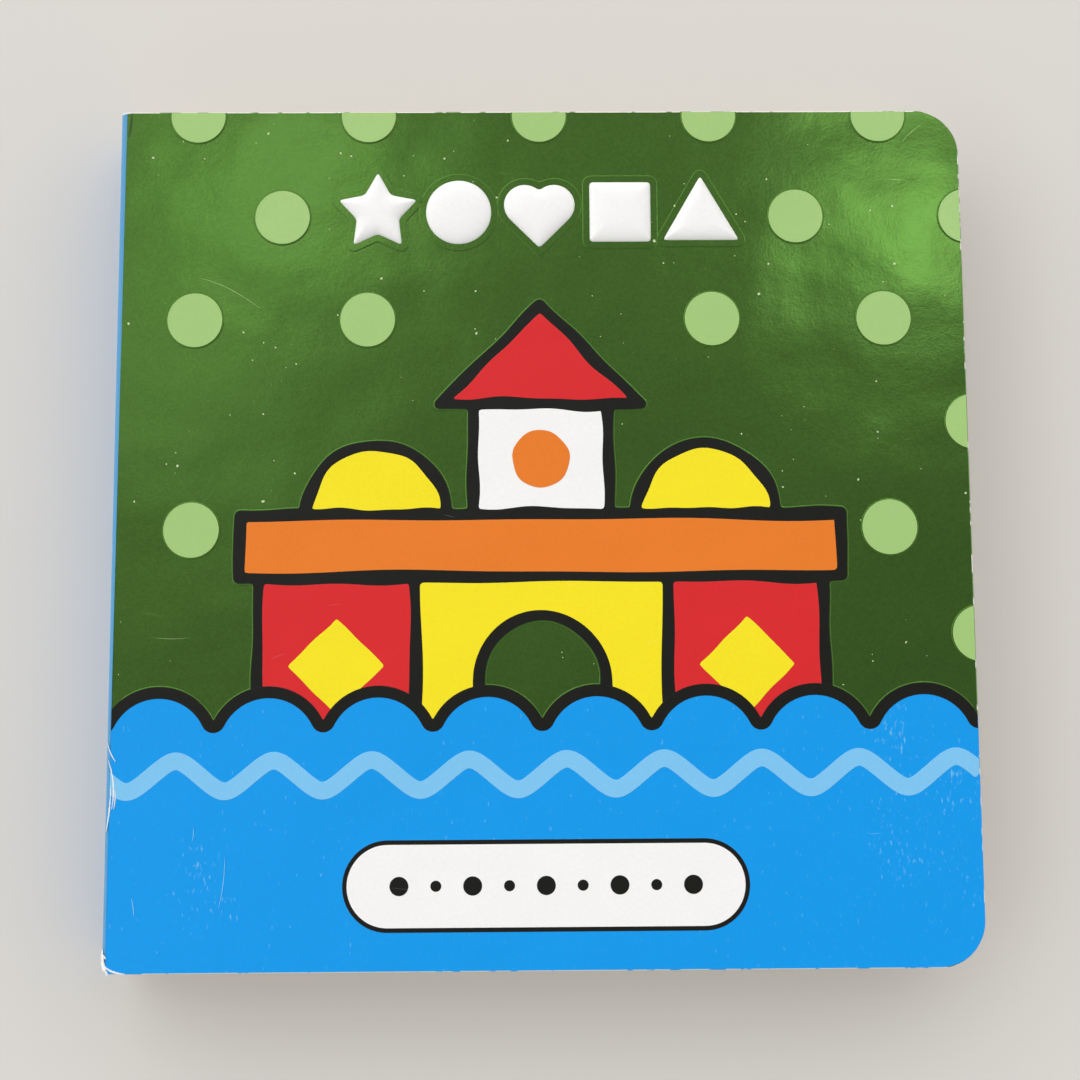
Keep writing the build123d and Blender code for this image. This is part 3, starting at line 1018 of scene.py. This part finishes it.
class BOOK_OT_stage(bpy.types.Operator):
    """Sets the pale floor, the soft lamps, the world and the camera of the photograph"""

    bl_idname = "book.stage"
    bl_label = "Stage"

    def execute(self, context):
        scene = context.scene
        scene.view_settings.view_transform = "Standard"
        floor_colour = rgba(linear("#dcd8d2"))
        corners = [(x, y, -0.1 * MM) for x, y in ((-4, -4), (4, -4), (4, 4), (-4, 4))]
        mesh = bpy.data.meshes.new("floor")
        mesh.from_pydata(corners, [], [(0, 1, 2, 3)])
        paper, tree, shader, _ = blank("pale_paper")
        fill(tree, shader, {"Base Color": floor_colour, "Roughness": 0.9})
        mesh.materials.append(paper)
        floor = bpy.data.objects.new("floor", mesh)
        scene.collection.objects.link(floor)

        # Soft room: dimmer straight overhead, where the foil faces, and at the skirting,
        # and brighter on the head's side and a little on the spine's
        world = bpy.data.worlds.new("soft_room")
        scene.world = world
        world.use_nodes = True
        tree = world.node_tree
        tree.nodes.clear()
        facing = add(tree, "TexCoord").outputs["Generated"]
        across, _, up = add(tree, "SeparateXYZ", {0: facing}).outputs
        head = add(tree, "VectorMath", {0: facing, 1: (-0.16, 0.98, 0.0)}, operation="DOT_PRODUCT")
        strength = 1.0
        for value, low, high, dim, bright in (
            (up, 0.86, 0.45, 0.27, 1.44),
            (up, 0.0, 0.5, 0.35, 1.0),
            (head.outputs["Value"], -1.0, 1.0, 0.62, 2.05),
            (across, 0.35, -0.35, 0.87, 1.17),
        ):
            ramp = add(tree, "MapRange", {0: value, 1: low, 2: high, 3: dim, 4: bright})
            product = {0: strength, 1: ramp.outputs[0]}
            strength = add(tree, "Math", product, operation="MULTIPLY").outputs[0]
        room = add(tree, "Background", {"Color": (1.0, 1.0, 1.0, 1.0), "Strength": strength})

        # Round the horizon the camera, metal and glass see a backdrop of the floor's colour
        backdrop = add(tree, "Background", {"Color": floor_colour})
        ray = add(tree, "LightPath").outputs
        seen = ray["Is Camera Ray"]
        for kind in ("Is Glossy Ray", "Is Transmission Ray"):
            seen = add(tree, "Math", {0: seen, 1: ray[kind]}, operation="MAXIMUM").outputs[0]
        horizon = add(tree, "MapRange", {0: up, 1: 0.6, 2: 0.45}).outputs[0]
        plain = add(tree, "Math", {0: seen, 1: horizon}, operation="MULTIPLY").outputs[0]
        both = add(tree, "MixShader", {0: plain, 1: room.outputs[0], 2: backdrop.outputs[0]})
        add(tree, "OutputWorld", {"Surface": both.outputs[0]})

        # Three lamps that cloud the foil: place, width and height in metres, and watts
        for name, spot, width, height, power in (
            ("cloud_left", (-0.205, 0.385, 0.85), 0.18, 0.11, 0.095),
            ("cloud_side", (-0.31, 0.21, 0.85), 0.16, 0.26, 0.05),
            ("cloud_right", (0.335, 0.35, 0.85), 0.1, 0.055, 0.15),
        ):
            light = bpy.data.lights.new(name, "AREA")
            light.shape = "RECTANGLE"
            light.size = width
            light.size_y = height
            light.energy = power
            lamp = bpy.data.objects.new(name, light)
            lamp.location = spot
            lamp.rotation_euler = (-lamp.location).to_track_quat("-Z", "Y").to_euler()
            lamp.visible_camera = False
            scene.collection.objects.link(lamp)

        # Fitted to the cover's corners: a focal length of 1300 px at a width of 1080 px
        lens = bpy.data.cameras.new("photo_camera")
        lens.sensor_width = 36.0
        lens.lens = lens.sensor_width * 1300 / 1080
        lens.clip_start = 0.01
        camera = bpy.data.objects.new("photo_camera", lens)
        camera.location = (-0.0027, -0.0266, level(266.7))
        turn = Euler(np.radians([-5.19, 0.52, 0.29]))
        camera.rotation_euler = turn.to_matrix().transposed().to_euler()
        scene.collection.objects.link(camera)
        scene.camera = camera
        return {"FINISHED"}


# Panel and add-on

OPERATORS = (
    BOOK_OT_front_board,
    BOOK_OT_back_board,
    BOOK_OT_foil_dots,
    BOOK_OT_title_shapes,
    BOOK_OT_toy_pile,
    BOOK_OT_foot_band,
    BOOK_OT_label,
    BOOK_OT_wear_and_shade_marks,
    BOOK_OT_spine_and_leaves,
    BOOK_OT_stage,
)


class BOOK_PT_panel(bpy.types.Panel):
    """Lists the book's sizes, colours and operators"""

    bl_idname = "BOOK_PT_panel"
    bl_label = "Board book"
    bl_space_type = "VIEW_3D"
    bl_region_type = "UI"
    bl_category = "Book"

    def draw(self, context):
        for group in (context.scene.book_sizes, context.scene.book_colours):
            box = self.layout.box()
            for name in group.__annotations__:
                box.prop(group, name)
        for operator in OPERATORS:
            self.layout.operator(operator.bl_idname)


CLASSES = (BookSizes, BookColours, *OPERATORS, BOOK_PT_panel)


def register():
    for each in CLASSES:
        bpy.utils.register_class(each)
    bpy.types.Scene.book_sizes = PointerProperty(type=BookSizes)
    bpy.types.Scene.book_colours = PointerProperty(type=BookColours)


def unregister():
    del bpy.types.Scene.book_colours
    del bpy.types.Scene.book_sizes
    for each in reversed(CLASSES):
        bpy.utils.unregister_class(each)


def main():
    """Registers the add-on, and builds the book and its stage."""
    register()
    for operator in OPERATORS:
        getattr(bpy.ops.book, operator.bl_idname.split(".")[1])()


if __name__ == "__main__":
    main()
